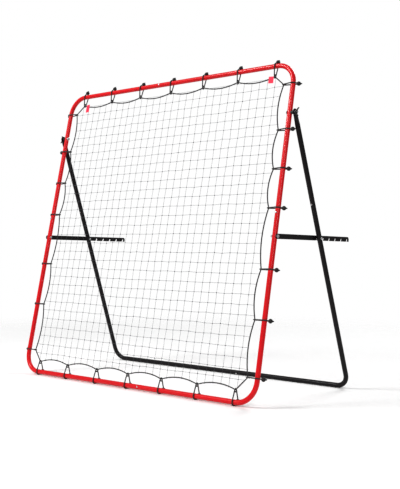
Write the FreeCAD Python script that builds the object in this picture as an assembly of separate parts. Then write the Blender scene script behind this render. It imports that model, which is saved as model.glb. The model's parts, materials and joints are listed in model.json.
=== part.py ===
import FreeCAD, Part
import math
import os

# Folding ball rebounder: a square tube frame with a net, leaning back on a U-shaped stand.
# Row frame: +X to the viewer's right, +Y to the rear, +Z up, origin under the middle of the whole
# object on the floor. Millimetres and degrees.

V = FreeCAD.Vector
X_AXIS = V(1, 0, 0)

# --- tubes ------------------------------------------------------------------------------------
TUBE_D = 22.0
TUBE_WALL = 1.2
SWAGE_LENGTH = 60.0            # how far a reduced end slides into its neighbour
SWAGE_FIT = 0.1                # radial clearance of a reduced end in the next tube
BEND_MITRES = 5                # mitred corners that make up each bend
ROUND_SIDES = 10               # flats of small round pieces
BORE_SIDES = 8                 # flats of the tubes' bores and reduced ends

# --- front frame ------------------------------------------------------------------------------
FRAME_WIDTH = 1500.0           # outside
FRAME_HEIGHT = 1500.0          # outside, along the leaning frame
FRAME_BEND_R = 94.0            # centreline
FRAME_LEAN = 11.8              # top leans to the rear
RAIL_BUTTON_OFFSET = 81.0      # top button left, bottom button right of the middle
UPRIGHT_BUTTON_RISE = 102.0    # upright buttons above the bar bolts

# --- rear stand -------------------------------------------------------------------------------
STAND_REACH = 678.0            # base bar behind the frame's bottom tube, centre to centre
STAND_BEND_R = 60.0            # centreline
PIVOT_DROP = 230.0             # pivot bolt below the top tube, along the upright
LEG_BUTTON_DROP = 416.0        # leg button below the pivot, along the leg
BASE_BUTTON_OFFSET = 117.0     # base button right of the middle
FLAT_THICKNESS = 4.0           # pressed end of a leg
FLAT_WIDTH = 30.0
FLAT_LENGTH = 22.0             # pivot to the start of the taper
EYE_SIDES = 8                  # flats round the pressed end
TAPER_LENGTH = 38.0            # pressed end to round tube

# --- adjuster bars ----------------------------------------------------------------------------
BAR_BOLT_DROP = 550.0          # bar bolt below the pivot, along the upright
BAR_DEPTH = 22.0
BAR_THICKNESS = 3.0
BAR_TAIL = 15.0                # last slot to the rear end
BAR_TAIL_R = 10.0              # upper rear corner
BAR_TIP_R = 3.0                # lower rear corner
SLOT_COUNT = 6
SLOT_PITCH = 51.0
SLOT_LEAN = 28.0               # slots open downwards and forwards
SLOT_PLAY = 0.5                # radial, round the cross pin
SLOT_ROOT_DROP = 2.0           # slot root centre below the bar's middle line
PIN_DROP = 577.0               # cross pin below the pivot, along the leg
PIN_D = 8.0
PIN_HEAD_D = 13.0
PIN_HEAD_H = 3.0
PIN_COLLAR_H = 2.0
BAR_LEG_GAP = 1.4              # bar to leg, sideways

# --- folding ----------------------------------------------------------------------------------
FOLDED_LEG_ANGLE = 9.0         # left between leg and upright when the legs meet the rubber balls
FOLDED_BAR_ANGLE = 18.0        # left between bar and upright when the bars are swung up

# --- fasteners --------------------------------------------------------------------------------
PIVOT_BOLT_D = 8.0
PIVOT_HEAD_D = 18.0
PIVOT_HEAD_H = 4.5
BAR_BOLT_D = 6.0
BAR_HEAD_AF = 10.0             # across flats
BAR_HEAD_H = 4.0
BAR_NUT_H = 6.0
BOLT_TIP = 2.5                 # thread standing out of a nut
WASHER_T = 1.5
WASHER_D = 16.0
SPACER_D = 16.0
WING_HUB_D = 15.0
WING_HUB_H = 9.0
WING_SPAN = 40.0
WING_RISE = 18.0               # wing tips above the nut's seat
WING_T = 3.0
HOLE_FIT = 0.2                 # radial, fixed bolt in its hole
RUNNING_FIT = 0.08             # radial, turning or sliding
FACE_GAP = 0.1                 # between faces that turn on each other

# --- snap buttons -----------------------------------------------------------------------------
BUTTON_D = 8.0
BUTTON_RISE = 3.0              # above the tube's surface
BUTTON_CHAMFER = 1.2
BUTTON_FLANGE_D = 11.0
BUTTON_FLANGE_H = 1.0
SPRING_T = 0.8
SPRING_WIDTH = 6.0
SPRING_LENGTH = 34.0

# --- net, edge cord, tags ---------------------------------------------------------------------
NET_INSET = 50.0               # edge cord's fixing points inside the tube's centreline
SCALLOP = 17.0                 # edge cord's sag between two fixing points
EDGE_CORD_D = 5.0
NET_THICKNESS = 2.0
NET_TWINE = 2.2
NET_PITCH = 99.0               # the real mesh is a little over twice as fine
NET_RIM = 3.0
NET_GAP = 0.4                  # net to the cords round it
TAG_T = 1.0
TAGS = {"left": (31.0, 22.0, 42.0), "right": (17.5, 27.0, 32.0)}   # from the corner, width, drop

# --- elastic loops and rubber balls -----------------------------------------------------------
LOOP_CORD = 5.0
LOOP_GAP = 0.3                 # cord to tube
LOOP_PLAY = 4.4                # loop round the edge cord
LOOP_FLAT = LOOP_CORD / 10     # pressed flat where the frame stands on it
BALL_D = 22.0
BALL_STANDOFF = 3.0            # ball to tube
BALL_TURN = 25.0               # balls sit outside the tube, turned this far to the rear
PIVOT_BALL_TURN = 5.0          # the ball under each pivot sits further forward
LOOP_SIDES = 8                 # corners of the loop's run round the tube
RAIL_LOOPS = 7
END_LOOP_INSET = 104.5         # a rail's end loops from the uprights
FOOT_LOOP_RISE = 106.0         # above the bottom tube
LOWER_LOOP_DROP = 355.0        # below the bar bolt
MIDDLE_LOOP_DROP = 142.0       # below the bar bolt
MIDDLE_LOOP_RISE = 124.0       # above the bar bolt
UPPER_LOOP_RISE = 298.0        # above the bar bolt
PIVOT_LOOP_DROP = 76.0         # below the pivot
CORNER_LOOP_DROP = 95.0        # below the top tube

# --- worked out -------------------------------------------------------------------------------
TUBE_R = TUBE_D / 2
BORE_R = TUBE_R - TUBE_WALL
SWAGE_R = BORE_R - SWAGE_FIT
SWAGE_BORE_R = SWAGE_R - TUBE_WALL
HALF_W = FRAME_WIDTH / 2 - TUBE_R
TOP_V = FRAME_HEIGHT - TUBE_D
PIVOT_HEIGHT = TOP_V - PIVOT_DROP
BAR_BOLT_HEIGHT = PIVOT_HEIGHT - BAR_BOLT_DROP
FRAME_Z = TUBE_R + LOOP_GAP + LOOP_CORD - LOOP_FLAT
BAR_X = HALF_W + TUBE_R + WASHER_T + FACE_GAP
LEG_X = BAR_X + BAR_THICKNESS + BAR_LEG_GAP + TUBE_R
UPRIGHT_BUTTON_V = BAR_BOLT_HEIGHT + UPRIGHT_BUTTON_RISE
LEAN = math.radians(FRAME_LEAN)


def polar(radius, degrees):
    angle = math.radians(degrees)
    return radius * math.cos(angle), radius * math.sin(angle)


def frame_point(x, v, n=0.0):
    """A point v up the leaning frame and n behind its plane, before the last shift in Y."""
    return V(x, v * math.sin(LEAN) + n * math.cos(LEAN),
             FRAME_Z + v * math.cos(LEAN) - n * math.sin(LEAN))


def on_frame(shape):
    """Lay a shape drawn upright (x across, y behind, z up) on the leaning frame."""
    placed = shape.copy()
    placed.rotate(V(0, 0, 0), X_AXIS, -FRAME_LEAN)
    placed.translate(V(0, 0, FRAME_Z))
    return placed


PIVOT = frame_point(0, PIVOT_HEIGHT)
BAR_BOLT = frame_point(0, BAR_BOLT_HEIGHT)
LEG_VECTOR = V(0, STAND_REACH, TUBE_R) - PIVOT
LEG_LENGTH = LEG_VECTOR.Length
LEG_ANGLE = math.degrees(math.atan2(LEG_VECTOR.y, -LEG_VECTOR.z))
PIN = PIVOT + LEG_VECTOR * (PIN_DROP / LEG_LENGTH)
BOLT_TO_PIN = PIN - BAR_BOLT
BAR_ANGLE = math.degrees(math.atan2(BOLT_TO_PIN.z, BOLT_TO_PIN.y)
                         + math.asin(SLOT_ROOT_DROP / BOLT_TO_PIN.Length))
FIRST_SLOT = math.sqrt(BOLT_TO_PIN.Length ** 2 - SLOT_ROOT_DROP ** 2)
BAR_END = FIRST_SLOT + (SLOT_COUNT - 1) * SLOT_PITCH + BAR_TAIL
STAND_FOLD = FRAME_LEAN + LEG_ANGLE - FOLDED_LEG_ANGLE
BAR_SWING = 90.0 - FRAME_LEAN - BAR_ANGLE - FOLDED_BAR_ANGLE


def on_stand(shape):
    """Hang a shape drawn below the pivot (x across, z up the leg) on the stand."""
    placed = shape.copy()
    placed.rotate(V(0, 0, 0), X_AXIS, LEG_ANGLE)
    placed.translate(PIVOT)
    return placed


def on_bar(shape):
    """Place a shape drawn from the bar bolt rearwards (y along, z up)."""
    placed = shape.copy()
    placed.rotate(V(0, 0, 0), X_AXIS, BAR_ANGLE)
    placed.translate(BAR_BOLT)
    return placed


def mirrored(shape):
    return shape.mirror(V(0, 0, 0), X_AXIS)


# --- basic solids -----------------------------------------------------------------------------
def rod(start, end, radius):
    along = end - start
    return Part.makeCylinder(radius, along.Length, start, along)


def fused(pieces):
    """One solid from pieces that overlap or share faces."""
    if len(pieces) == 1:
        return pieces[0]
    return pieces[0].multiFuse(pieces[1:]).removeSplitter()


def x_rod(x1, x2, radius, v=0.0, n=0.0):
    return rod(V(x1, n, v), V(x2, n, v), radius)


def flat_sided(start, end, radius, facing, sides=ROUND_SIDES):
    """A many-sided rod; the radius is measured to its flats and one flat faces the given way."""
    corners = flat_sided_ring(start, (end - start).normalize(), radius, facing, sides)
    return Part.Face(Part.makePolygon(corners + corners[:1])).extrude(end - start)


def x_flat_sided(x1, x2, radius, sides=ROUND_SIDES, v=0.0, n=0.0):
    return flat_sided(V(x1, n, v), V(x2, n, v), radius, V(0, 0, 1), sides)


def bent_path(start, corner, end, bend_radius):
    """Two straight arms and a bend of short straight lengths round the same arc."""
    to_start = (start - corner).normalize()
    to_end = (end - corner).normalize()
    centre = corner + (to_start + to_end) * bend_radius
    step = 90.0 / BEND_MITRES
    radius = bend_radius / math.cos(math.radians(step / 2))
    bend = []
    for i in range(BEND_MITRES):
        a, b = polar(radius, step * (i + 0.5))
        bend.append(centre - to_end * a - to_start * b)
    return [start] + bend + [end]


def along_path(path, section):
    """A rod of constant section with mitred corners."""
    return Part.makePolygon(path).makePipeShell([section], True, False, 1)


def flat_sided_ring(start, along, radius, facing, sides=ROUND_SIDES):
    """Corners of a many-sided outline; the radius is measured to its flats."""
    across = along.cross(facing).normalize()
    upwards = across.cross(along)
    corner_r = radius / math.cos(math.pi / sides)
    return [start + upwards * a + across * b for a, b in
            (polar(corner_r, 360 * (i + 0.5) / sides) for i in range(sides))]


def bent_tube(start, corner, end, bend_radius, facing):
    """A round tube's outside and its flat-sided bore."""
    path = bent_path(start, corner, end, bend_radius)
    along = (path[1] - path[0]).normalize()
    bore = flat_sided_ring(start, along, BORE_R, facing, BORE_SIDES)
    return (along_path(path, Part.Wire([Part.makeCircle(TUBE_R, start, along)])),
            along_path(path, Part.makePolygon(bore + bore[:1])))


def swaged_end(seam, direction, facing):
    """The neck and reduced end that start at a seam, and their bore."""
    inside, end = seam - direction * 3 * TUBE_WALL, seam + direction * SWAGE_LENGTH
    neck = flat_sided(inside, seam, BORE_R, facing, BORE_SIDES)
    return (fused([neck, flat_sided(inside, end, SWAGE_R, facing, BORE_SIDES)]),
            flat_sided(inside, end, SWAGE_BORE_R, facing, BORE_SIDES))


def button_hole(centre, outwards, along):
    return flat_sided(centre, centre + outwards * TUBE_D, BUTTON_D / 2 + RUNNING_FIT, along)


def ring_solid(first, last, flat=True):
    """A solid between two rings of as many corners; its sides are split where they aren't flat."""
    count = len(first)
    faces = [first, last]
    for i in range(count):
        j = (i + 1) % count
        if flat:
            faces.append([first[i], first[j], last[j], last[i]])
        else:
            faces += [[first[i], first[j], last[j]], [first[i], last[j], last[i]]]
    return Part.Solid(Part.Shell([Part.Face(Part.makePolygon(f + f[:1])) for f in faces]))


# --- front frame ------------------------------------------------------------------------------
FORWARDS = V(0, -1, 0)
SEAM = SWAGE_LENGTH / 2        # button to seam
FRAME_BUTTONS = {
    "top": (V(-RAIL_BUTTON_OFFSET, 0, TOP_V), V(1, 0, 0)),
    "right": (V(HALF_W, 0, UPRIGHT_BUTTON_V), V(0, 0, -1)),
    "bottom": (V(RAIL_BUTTON_OFFSET, 0, 0), V(-1, 0, 0)),
    "left": (V(-HALF_W, 0, UPRIGHT_BUTTON_V), V(0, 0, 1)),
}                              # button centre, and the way the reduced end points


def frame_tube(corner, socket, plug):
    """One corner tube: its socket takes a neighbour's end, its own reduced end plugs into the next."""
    socket_button, socket_way = FRAME_BUTTONS[socket]
    plug_button, plug_way = FRAME_BUTTONS[plug]
    socket_seam = socket_button - socket_way * SEAM
    plug_seam = plug_button - plug_way * SEAM
    outside, bore = bent_tube(socket_seam, corner, plug_seam, FRAME_BEND_R, FORWARDS)
    swage, swage_bore = swaged_end(plug_seam, plug_way, FORWARDS)
    side = 1 if corner.x > 0 else -1
    across = [x_flat_sided(side * (HALF_W - TUBE_D), side * (HALF_W + TUBE_D), radius + HOLE_FIT, v=height)
              for radius, height in ((PIVOT_BOLT_D / 2, PIVOT_HEIGHT), (BAR_BOLT_D / 2, BAR_BOLT_HEIGHT))]
    body = fused([outside.cut(bore), swage]).cut([
        swage_bore,
        button_hole(socket_button, FORWARDS, socket_way),
        button_hole(plug_button, FORWARDS, plug_way),
    ])
    return on_frame(body.cut(across))


def frame_tubes():
    return {
        "frame_top_left": frame_tube(V(-HALF_W, 0, TOP_V), "left", "top"),
        "frame_top_right": frame_tube(V(HALF_W, 0, TOP_V), "top", "right"),
        "frame_bottom_right": frame_tube(V(HALF_W, 0, 0), "right", "bottom"),
        "frame_bottom_left": frame_tube(V(-HALF_W, 0, 0), "bottom", "left"),
    }


# --- snap buttons -----------------------------------------------------------------------------
BUTTON_FLANGE_TOP = math.sqrt(SWAGE_BORE_R ** 2 - (BUTTON_FLANGE_D / 2) ** 2) - 3 * FACE_GAP
BUTTON_TRAVEL = BUTTON_RISE + TUBE_WALL


def snap_button(centre, outwards, along):
    radius = BUTTON_D / 2
    top = TUBE_R + BUTTON_RISE
    shoulder = top - BUTTON_CHAMFER
    flange_under = BUTTON_FLANGE_TOP - BUTTON_FLANGE_H

    def level(height):
        return centre + outwards * height

    def ring(height, r):
        return flat_sided_ring(level(height), outwards, r, along)

    return fused([
        flat_sided(level(flange_under), level(BUTTON_FLANGE_TOP), BUTTON_FLANGE_D / 2, along),
        flat_sided(level(BUTTON_FLANGE_TOP), level(shoulder), radius, along),
        ring_solid(ring(shoulder, radius), ring(top, radius - BUTTON_CHAMFER)),
    ])


def button_spring(centre, outwards, along):
    """A bent leaf: one limb carries the button, the other rests on the far wall."""
    seat = BUTTON_FLANGE_TOP - BUTTON_FLANGE_H - FACE_GAP
    far_wall = -math.sqrt(SWAGE_BORE_R ** 2 - (SPRING_WIDTH / 2) ** 2) + FACE_GAP
    start = -BUTTON_FLANGE_D / 2
    apex = start + SPRING_LENGTH
    apex_height = (seat + far_wall) / 2
    outline = [(start, seat), (-start, seat), (apex, apex_height), (-start, far_wall), (start, far_wall),
               (start, far_wall + SPRING_T), (-start, far_wall + SPRING_T),
               (apex - 3 * SPRING_T, apex_height), (-start, seat - SPRING_T), (start, seat - SPRING_T)]
    across = outwards.cross(along) * (SPRING_WIDTH / 2)
    corners = [centre + along * a + outwards * h - across for a, h in outline]
    return Part.Face(Part.makePolygon(corners + corners[:1])).extrude(across * 2)


def frame_buttons():
    nodes, springs = {}, []
    for name, (centre, way) in FRAME_BUTTONS.items():
        nodes["frame_button_" + name] = on_frame(snap_button(centre, FORWARDS, way))
        springs.append(on_frame(button_spring(centre, FORWARDS, -way)))
    nodes["frame_button_springs"] = Part.makeCompound(springs)
    return nodes


# --- rear stand -------------------------------------------------------------------------------
LEG_BUTTON_Z = -LEG_BUTTON_DROP
LEG_SEAM_Z = LEG_BUTTON_Z - SEAM
BASE_SEAM_X = BASE_BUTTON_OFFSET + SEAM
UP = V(0, 0, 1)


def leg():
    """Right upper leg: pressed end, taper and tube down to the seam."""
    taper_top, taper_foot = -FLAT_LENGTH, -FLAT_LENGTH - TAPER_LENGTH
    half_t, half_w = FLAT_THICKNESS / 2, FLAT_WIDTH / 2
    eye_points = [polar(half_w, 180 * i / EYE_SIDES) for i in range(EYE_SIDES + 1)]
    eye = [V(LEG_X - half_t, y, z) for y, z in eye_points]
    plate = eye + [V(LEG_X - half_t, -half_w, taper_top), V(LEG_X - half_t, half_w, taper_top), eye[0]]
    flat = Part.Face(Part.makePolygon(plate)).extrude(V(FLAT_THICKNESS, 0, 0))
    pressed, tube_ring = [], []
    for i in range(ROUND_SIDES):
        x, y = polar(1.0, 360 * (i + 0.5) / ROUND_SIDES)
        tube_ring.append(V(LEG_X + x * (TUBE_R - HOLE_FIT), y * (TUBE_R - HOLE_FIT), taper_foot))
        pressed_y = y / math.cos(math.pi / ROUND_SIDES) * half_w
        pressed.append(V(LEG_X + math.copysign(half_t, x), pressed_y, taper_top))
    taper = ring_solid(pressed, tube_ring, flat=False)
    top = V(LEG_X, 0, taper_foot)
    seam, button = V(LEG_X, 0, LEG_SEAM_Z), V(LEG_X, 0, LEG_BUTTON_Z)
    return fused([flat, taper, rod(seam, top, TUBE_R)]).cut([
        flat_sided(seam, top - UP * TUBE_WALL, BORE_R, FORWARDS, BORE_SIDES),
        x_flat_sided(LEG_X - TUBE_D, LEG_X + TUBE_D, PIVOT_BOLT_D / 2 + RUNNING_FIT),
        button_hole(button, FORWARDS, UP),
    ])


def pin_hole():
    return x_flat_sided(LEG_X - TUBE_D, LEG_X + TUBE_D, PIN_D / 2 + RUNNING_FIT, v=-PIN_DROP)


def stand_corner(side, seam_x):
    """One lower tube: up to a leg, round the bend and along the base to its seam."""
    corner = V(side * LEG_X, 0, -LEG_LENGTH)
    leg_seam, base_seam = V(side * LEG_X, 0, LEG_SEAM_Z), V(seam_x, 0, -LEG_LENGTH)
    base_button = V(BASE_BUTTON_OFFSET, 0, -LEG_LENGTH)
    outside, bore = bent_tube(leg_seam, corner, base_seam, STAND_BEND_R, FORWARDS)
    ends = [swaged_end(leg_seam, UP, FORWARDS)]
    if side > 0:
        ends.append(swaged_end(base_seam, V(-side, 0, 0), FORWARDS))
    cuts = [end_bore for _, end_bore in ends] + [
        button_hole(V(side * LEG_X, 0, LEG_BUTTON_Z), FORWARDS, UP),
        button_hole(base_button, FORWARDS, X_AXIS),
        pin_hole() if side > 0 else mirrored(pin_hole()),
    ]
    return fused([outside.cut(bore)] + [end for end, _ in ends]).cut(cuts)


def leg_pin():
    """Right cross pin: head outside, collar inside the adjuster bar."""
    head_x = LEG_X + TUBE_R + FACE_GAP
    collar_x = BAR_X - FACE_GAP
    return fused([
        x_flat_sided(collar_x - PIN_COLLAR_H, collar_x, PIN_HEAD_D / 2, v=-PIN_DROP),
        x_flat_sided(collar_x, head_x, PIN_D / 2, v=-PIN_DROP),
        x_flat_sided(head_x, head_x + PIN_HEAD_H, PIN_HEAD_D / 2, v=-PIN_DROP),
    ])


def stand():
    right_leg, right_pin = leg(), leg_pin()
    nodes = {
        "stand_leg_right": right_leg,
        "stand_leg_left": mirrored(right_leg),
        "stand_corner_right": stand_corner(1, BASE_SEAM_X),
        "stand_corner_left": stand_corner(-1, BASE_SEAM_X),
        "leg_pin_right": right_pin,
        "leg_pin_left": mirrored(right_pin),
    }
    buttons = {
        "right": (V(LEG_X, 0, LEG_BUTTON_Z), -UP),
        "left": (V(-LEG_X, 0, LEG_BUTTON_Z), -UP),
        "base": (V(BASE_BUTTON_OFFSET, 0, -LEG_LENGTH), V(1, 0, 0)),
    }
    springs = []
    for name, (centre, inwards) in buttons.items():
        nodes["stand_button_" + name] = snap_button(centre, FORWARDS, inwards)
        springs.append(button_spring(centre, FORWARDS, inwards))
    nodes["stand_button_springs"] = Part.makeCompound(springs)
    return {name: on_stand(shape) for name, shape in nodes.items()}


# --- pivots -----------------------------------------------------------------------------------
UPRIGHT_OUT = HALF_W + TUBE_R
UPRIGHT_IN = HALF_W - TUBE_R
FLAT_OUT = LEG_X + FLAT_THICKNESS / 2
FLAT_IN = LEG_X - FLAT_THICKNESS / 2
PIVOT_WASHER_X = FLAT_OUT + FACE_GAP
WING_SEAT_X = PIVOT_WASHER_X + WASHER_T + FACE_GAP


def x_cone(x1, radius1, x2, radius2):
    return ring_solid(flat_sided_ring(V(x1, 0, 0), X_AXIS, radius1, UP),
                      flat_sided_ring(V(x2, 0, 0), X_AXIS, radius2, UP))


def pivot_bolt():
    """A round-headed bolt whose shank the leg and the wing nut turn on."""
    head_x = UPRIGHT_IN - FACE_GAP
    rim_x, crown_x = head_x - PIVOT_HEAD_H * 0.35, head_x - PIVOT_HEAD_H
    tip_x = WING_SEAT_X + WING_HUB_H + BOLT_TIP
    return fused([x_flat_sided(rim_x, head_x, PIVOT_HEAD_D / 2),
                  x_cone(rim_x, PIVOT_HEAD_D / 2, crown_x, PIVOT_HEAD_D / 4),
                  x_rod(head_x, tip_x, PIVOT_BOLT_D / 2)])


def pivot_spacer():
    """A sleeve whose inner end is saddled to the upright."""
    sleeve = x_flat_sided(HALF_W, FLAT_IN - FACE_GAP, SPACER_D / 2)
    upright = rod(V(HALF_W, 0, -TUBE_D), V(HALF_W, 0, TUBE_D), TUBE_R + FACE_GAP)
    bolt = x_flat_sided(HALF_W, LEG_X, PIVOT_BOLT_D / 2 + HOLE_FIT)
    return sleeve.cut([upright, bolt])


def washer(x, bolt_d, fit):
    hole = x_flat_sided(x - 1, x + WASHER_T + 1, bolt_d / 2 + fit)
    return x_flat_sided(x, x + WASHER_T, WASHER_D / 2).cut(hole)


def wing_nut():
    end_x = WING_SEAT_X + WING_HUB_H
    hub = x_cone(WING_SEAT_X, WING_HUB_D / 2, end_x, WING_HUB_D / 2 - 1.5)
    tip, root = WING_SPAN / 2, PIVOT_BOLT_D / 2 + 1.5
    outline = [(1.0, root), (2.0, tip - 6.0), (WING_RISE - 3.0, tip), (WING_RISE, tip - 3.0),
               (WING_HUB_H - 0.5, root)]
    wings = []
    for side in (1, -1):
        corners = [V(WING_SEAT_X + x, -WING_T / 2, side * z) for x, z in outline]
        wings.append(Part.Face(Part.makePolygon(corners + corners[:1])).extrude(V(0, WING_T, 0)))
    bore = x_flat_sided(WING_SEAT_X - 1, end_x + 1, PIVOT_BOLT_D / 2 + RUNNING_FIT)
    return fused([hub] + wings).cut(bore)


def pivots():
    def at_pivot(shape):
        raised = shape.copy()
        raised.translate(V(0, 0, PIVOT_HEIGHT))
        return on_frame(raised)

    nodes = {}
    for name, make in (("pivot_bolt", pivot_bolt), ("pivot_spacer", pivot_spacer), ("wing_nut", wing_nut)):
        shape = make()
        nodes[name + "_right"] = at_pivot(shape)
        nodes[name + "_left"] = at_pivot(mirrored(shape))
    ring = washer(PIVOT_WASHER_X, PIVOT_BOLT_D, HOLE_FIT)
    nodes["pivot_washers"] = Part.makeCompound([at_pivot(ring), at_pivot(mirrored(ring))])
    return nodes


# --- adjuster bars ----------------------------------------------------------------------------
def quarter(y, z, radius, first, sides=3):
    """Corners of a rounded corner about a centre, from one direction through 90 degrees."""
    return [(y + a, z + b) for a, b in (polar(radius, first + 90 * i / sides) for i in range(sides + 1))]


def adjuster_bar():
    half, end = BAR_DEPTH / 2, BAR_END
    outline = (quarter(end - BAR_TIP_R, -half + BAR_TIP_R, BAR_TIP_R, -90)
               + quarter(end - BAR_TAIL_R, half - BAR_TAIL_R, BAR_TAIL_R, 0, 4)
               + quarter(0, 0, half, 90, 4) + quarter(0, 0, half, 180, 4)[1:])
    corners = [V(BAR_X, y, z) for y, z in outline]
    blank = Part.Face(Part.makePolygon(corners + corners[:1])).extrude(V(BAR_THICKNESS, 0, 0))
    slot_r = PIN_D / 2 + SLOT_PLAY
    root_r = slot_r / math.cos(math.pi / ROUND_SIDES)
    root = [polar(root_r, 360 * (i + 0.5) / ROUND_SIDES) for i in range(ROUND_SIDES // 2)]
    sides = [(-slot_r, 0), (-slot_r, -BAR_DEPTH), (slot_r, -BAR_DEPTH), (slot_r, 0)]
    mouth = [V(BAR_X - 1, y, z) for y, z in root + sides]
    slot = Part.Face(Part.makePolygon(mouth + mouth[:1])).extrude(V(BAR_THICKNESS + 2, 0, 0))
    cuts = [x_flat_sided(BAR_X - 1, BAR_X + BAR_THICKNESS + 1, BAR_BOLT_D / 2 + RUNNING_FIT)]
    for i in range(SLOT_COUNT):
        placed = slot.copy()
        placed.rotate(V(0, 0, 0), X_AXIS, -SLOT_LEAN)
        placed.translate(V(0, FIRST_SLOT + i * SLOT_PITCH, -SLOT_ROOT_DROP))
        cuts.append(placed)
    return blank.cut(cuts)


def adjusters():
    outer_washer_x = BAR_X + BAR_THICKNESS + FACE_GAP
    head_x = outer_washer_x + WASHER_T
    nut_x = UPRIGHT_IN - FACE_GAP
    bolt = fused([x_flat_sided(head_x, head_x + BAR_HEAD_H, BAR_HEAD_AF / 2, 6),
                  x_rod(nut_x - BAR_NUT_H - BOLT_TIP, head_x, BAR_BOLT_D / 2)])
    nut = x_flat_sided(nut_x - BAR_NUT_H, nut_x, BAR_HEAD_AF / 2, 6).cut(
        x_flat_sided(nut_x - BAR_NUT_H - 1, nut_x + 1, BAR_BOLT_D / 2 + RUNNING_FIT))
    washers = [washer(x, BAR_BOLT_D, HOLE_FIT) for x in (UPRIGHT_OUT, outer_washer_x)]
    bar = adjuster_bar()

    def at_bolt(shape):
        raised = shape.copy()
        raised.translate(V(0, 0, BAR_BOLT_HEIGHT))
        return on_frame(raised)

    return {
        "adjuster_bar_right": on_bar(bar),
        "adjuster_bar_left": on_bar(mirrored(bar)),
        "bar_bolt_right": at_bolt(bolt),
        "bar_bolt_left": at_bolt(mirrored(bolt)),
        "bar_nut_right": at_bolt(nut),
        "bar_nut_left": at_bolt(mirrored(nut)),
        "bar_washers": Part.makeCompound([at_bolt(s) for w in washers for s in (w, mirrored(w))]),
    }


# --- fixing points of the net -----------------------------------------------------------------
SIDE_LOOPS = [FOOT_LOOP_RISE, BAR_BOLT_HEIGHT - LOWER_LOOP_DROP, BAR_BOLT_HEIGHT - MIDDLE_LOOP_DROP,
              BAR_BOLT_HEIGHT + MIDDLE_LOOP_RISE, BAR_BOLT_HEIGHT + UPPER_LOOP_RISE]
PIVOT_LOOP_V = PIVOT_HEIGHT - PIVOT_LOOP_DROP
CORNER_LOOP_V = TOP_V - CORNER_LOOP_DROP
END_LOOP_X = HALF_W - END_LOOP_INSET
RAIL_XS = [END_LOOP_X * (2 * i / (RAIL_LOOPS - 1) - 1) for i in range(RAIL_LOOPS)]


def fixing_points():
    """The edge cord's fixing points, anticlockwise seen from the front, starting bottom left."""
    heights = SIDE_LOOPS + [PIVOT_LOOP_V, CORNER_LOOP_V]
    inner_x, inner_top = HALF_W - NET_INSET, TOP_V - NET_INSET
    sides = [[V(x, 0, NET_INSET) for x in RAIL_XS],
             [V(inner_x, 0, v) for v in heights],
             [V(x, 0, inner_top) for x in reversed(RAIL_XS)],
             [V(-inner_x, 0, v) for v in reversed(heights)]]
    return sides


def cord_spans():
    """Start, belly and end of the edge cord between neighbouring fixing points, and the way in."""
    spans = []
    sides = fixing_points()
    for i, side in enumerate(sides):
        inwards = (V(0, 0, 1), V(-1, 0, 0), V(0, 0, -1), V(1, 0, 0))[i]
        for start, end in zip(side, side[1:]):
            spans.append((start, (start + end) * 0.5 + inwards * SCALLOP, end, inwards))
        spans.append((side[-1], None, sides[(i + 1) % 4][0], inwards))
    return spans


def edge_path():
    """Corners of the edge cord, two straight runs to each sagging span."""
    path = []
    for start, belly, _, _ in cord_spans():
        path += [start] if belly is None else [start, belly]
    return path


def faceted_ball(centre, radius, meridians=6):
    """A ball with few flat faces."""
    levels = [polar(radius, latitude) for latitude in (-45, 0, 45)]
    rings = [[centre + V(x, y, z) for x, y in (polar(r, 360 * i / meridians) for i in range(meridians))]
             for r, z in levels]
    south, north = centre - V(0, 0, radius), centre + V(0, 0, radius)
    faces = []
    for i in range(meridians):
        j = (i + 1) % meridians
        faces.append([south, rings[0][j], rings[0][i]])
        faces.append([north, rings[-1][i], rings[-1][j]])
        for low, high in zip(rings, rings[1:]):
            faces.append([low[i], low[j], high[j], high[i]])
    return Part.Solid(Part.Shell([Part.Face(Part.makePolygon(f + f[:1])) for f in faces]))


def net_edge_cord():
    """A closed four-sided cord, mitred at each fixing point and each belly."""
    path = edge_path()
    count = len(path)
    corner_r = EDGE_CORD_D / 2
    rings = []
    for i, point in enumerate(path):
        before = (point - path[i - 1]).normalize()
        after = (path[(i + 1) % count] - point).normalize()
        mitre = (before + after).normalize()
        sideways = V(0, 1, 0).cross(mitre) * (corner_r / mitre.dot(after))
        rearwards = V(0, corner_r, 0)
        rings.append([point + sideways, point + rearwards, point - sideways, point - rearwards])
    faces = []
    for i, ring in enumerate(rings):
        following = rings[(i + 1) % count]
        for k in range(4):
            m = (k + 1) % 4
            faces.append([ring[k], ring[m], following[m], following[k]])
    solid = Part.Solid(Part.Shell([Part.Face(Part.makePolygon(f + f[:1])) for f in faces]))
    return on_frame(solid)


def inset_outline(inset):
    """Corners of the net's outline inside the edge cord, stepping back round each elastic loop."""
    notch = EDGE_CORD_D / 2 + LOOP_PLAY + LOOP_CORD + NET_GAP
    corners = []
    for start, belly, end, side_inwards in cord_spans():
        along = (end - start).normalize()
        inwards = V(-along.z, 0, along.x)
        run = notch * 1.6
        sag = 0.0 if belly is None else SCALLOP * 2 * run / (end - start).Length
        corners.append(start + side_inwards * (notch + inset))
        corners.append(start + along * run + inwards * (inset + sag))
        if belly is not None:
            corners.append(belly + inwards * inset)
        corners.append(end - along * run + inwards * (inset + sag))
    return corners


def strand(x1, x2, v1, v2):
    """A straight strip across the net's plane."""
    corners = [V(x1, -1, v1), V(x2, -1, v1), V(x2, -1, v2), V(x1, -1, v2)]
    return Part.Face(Part.makePolygon(corners + corners[:1])).extrude(V(0, 2, 0))


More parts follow.
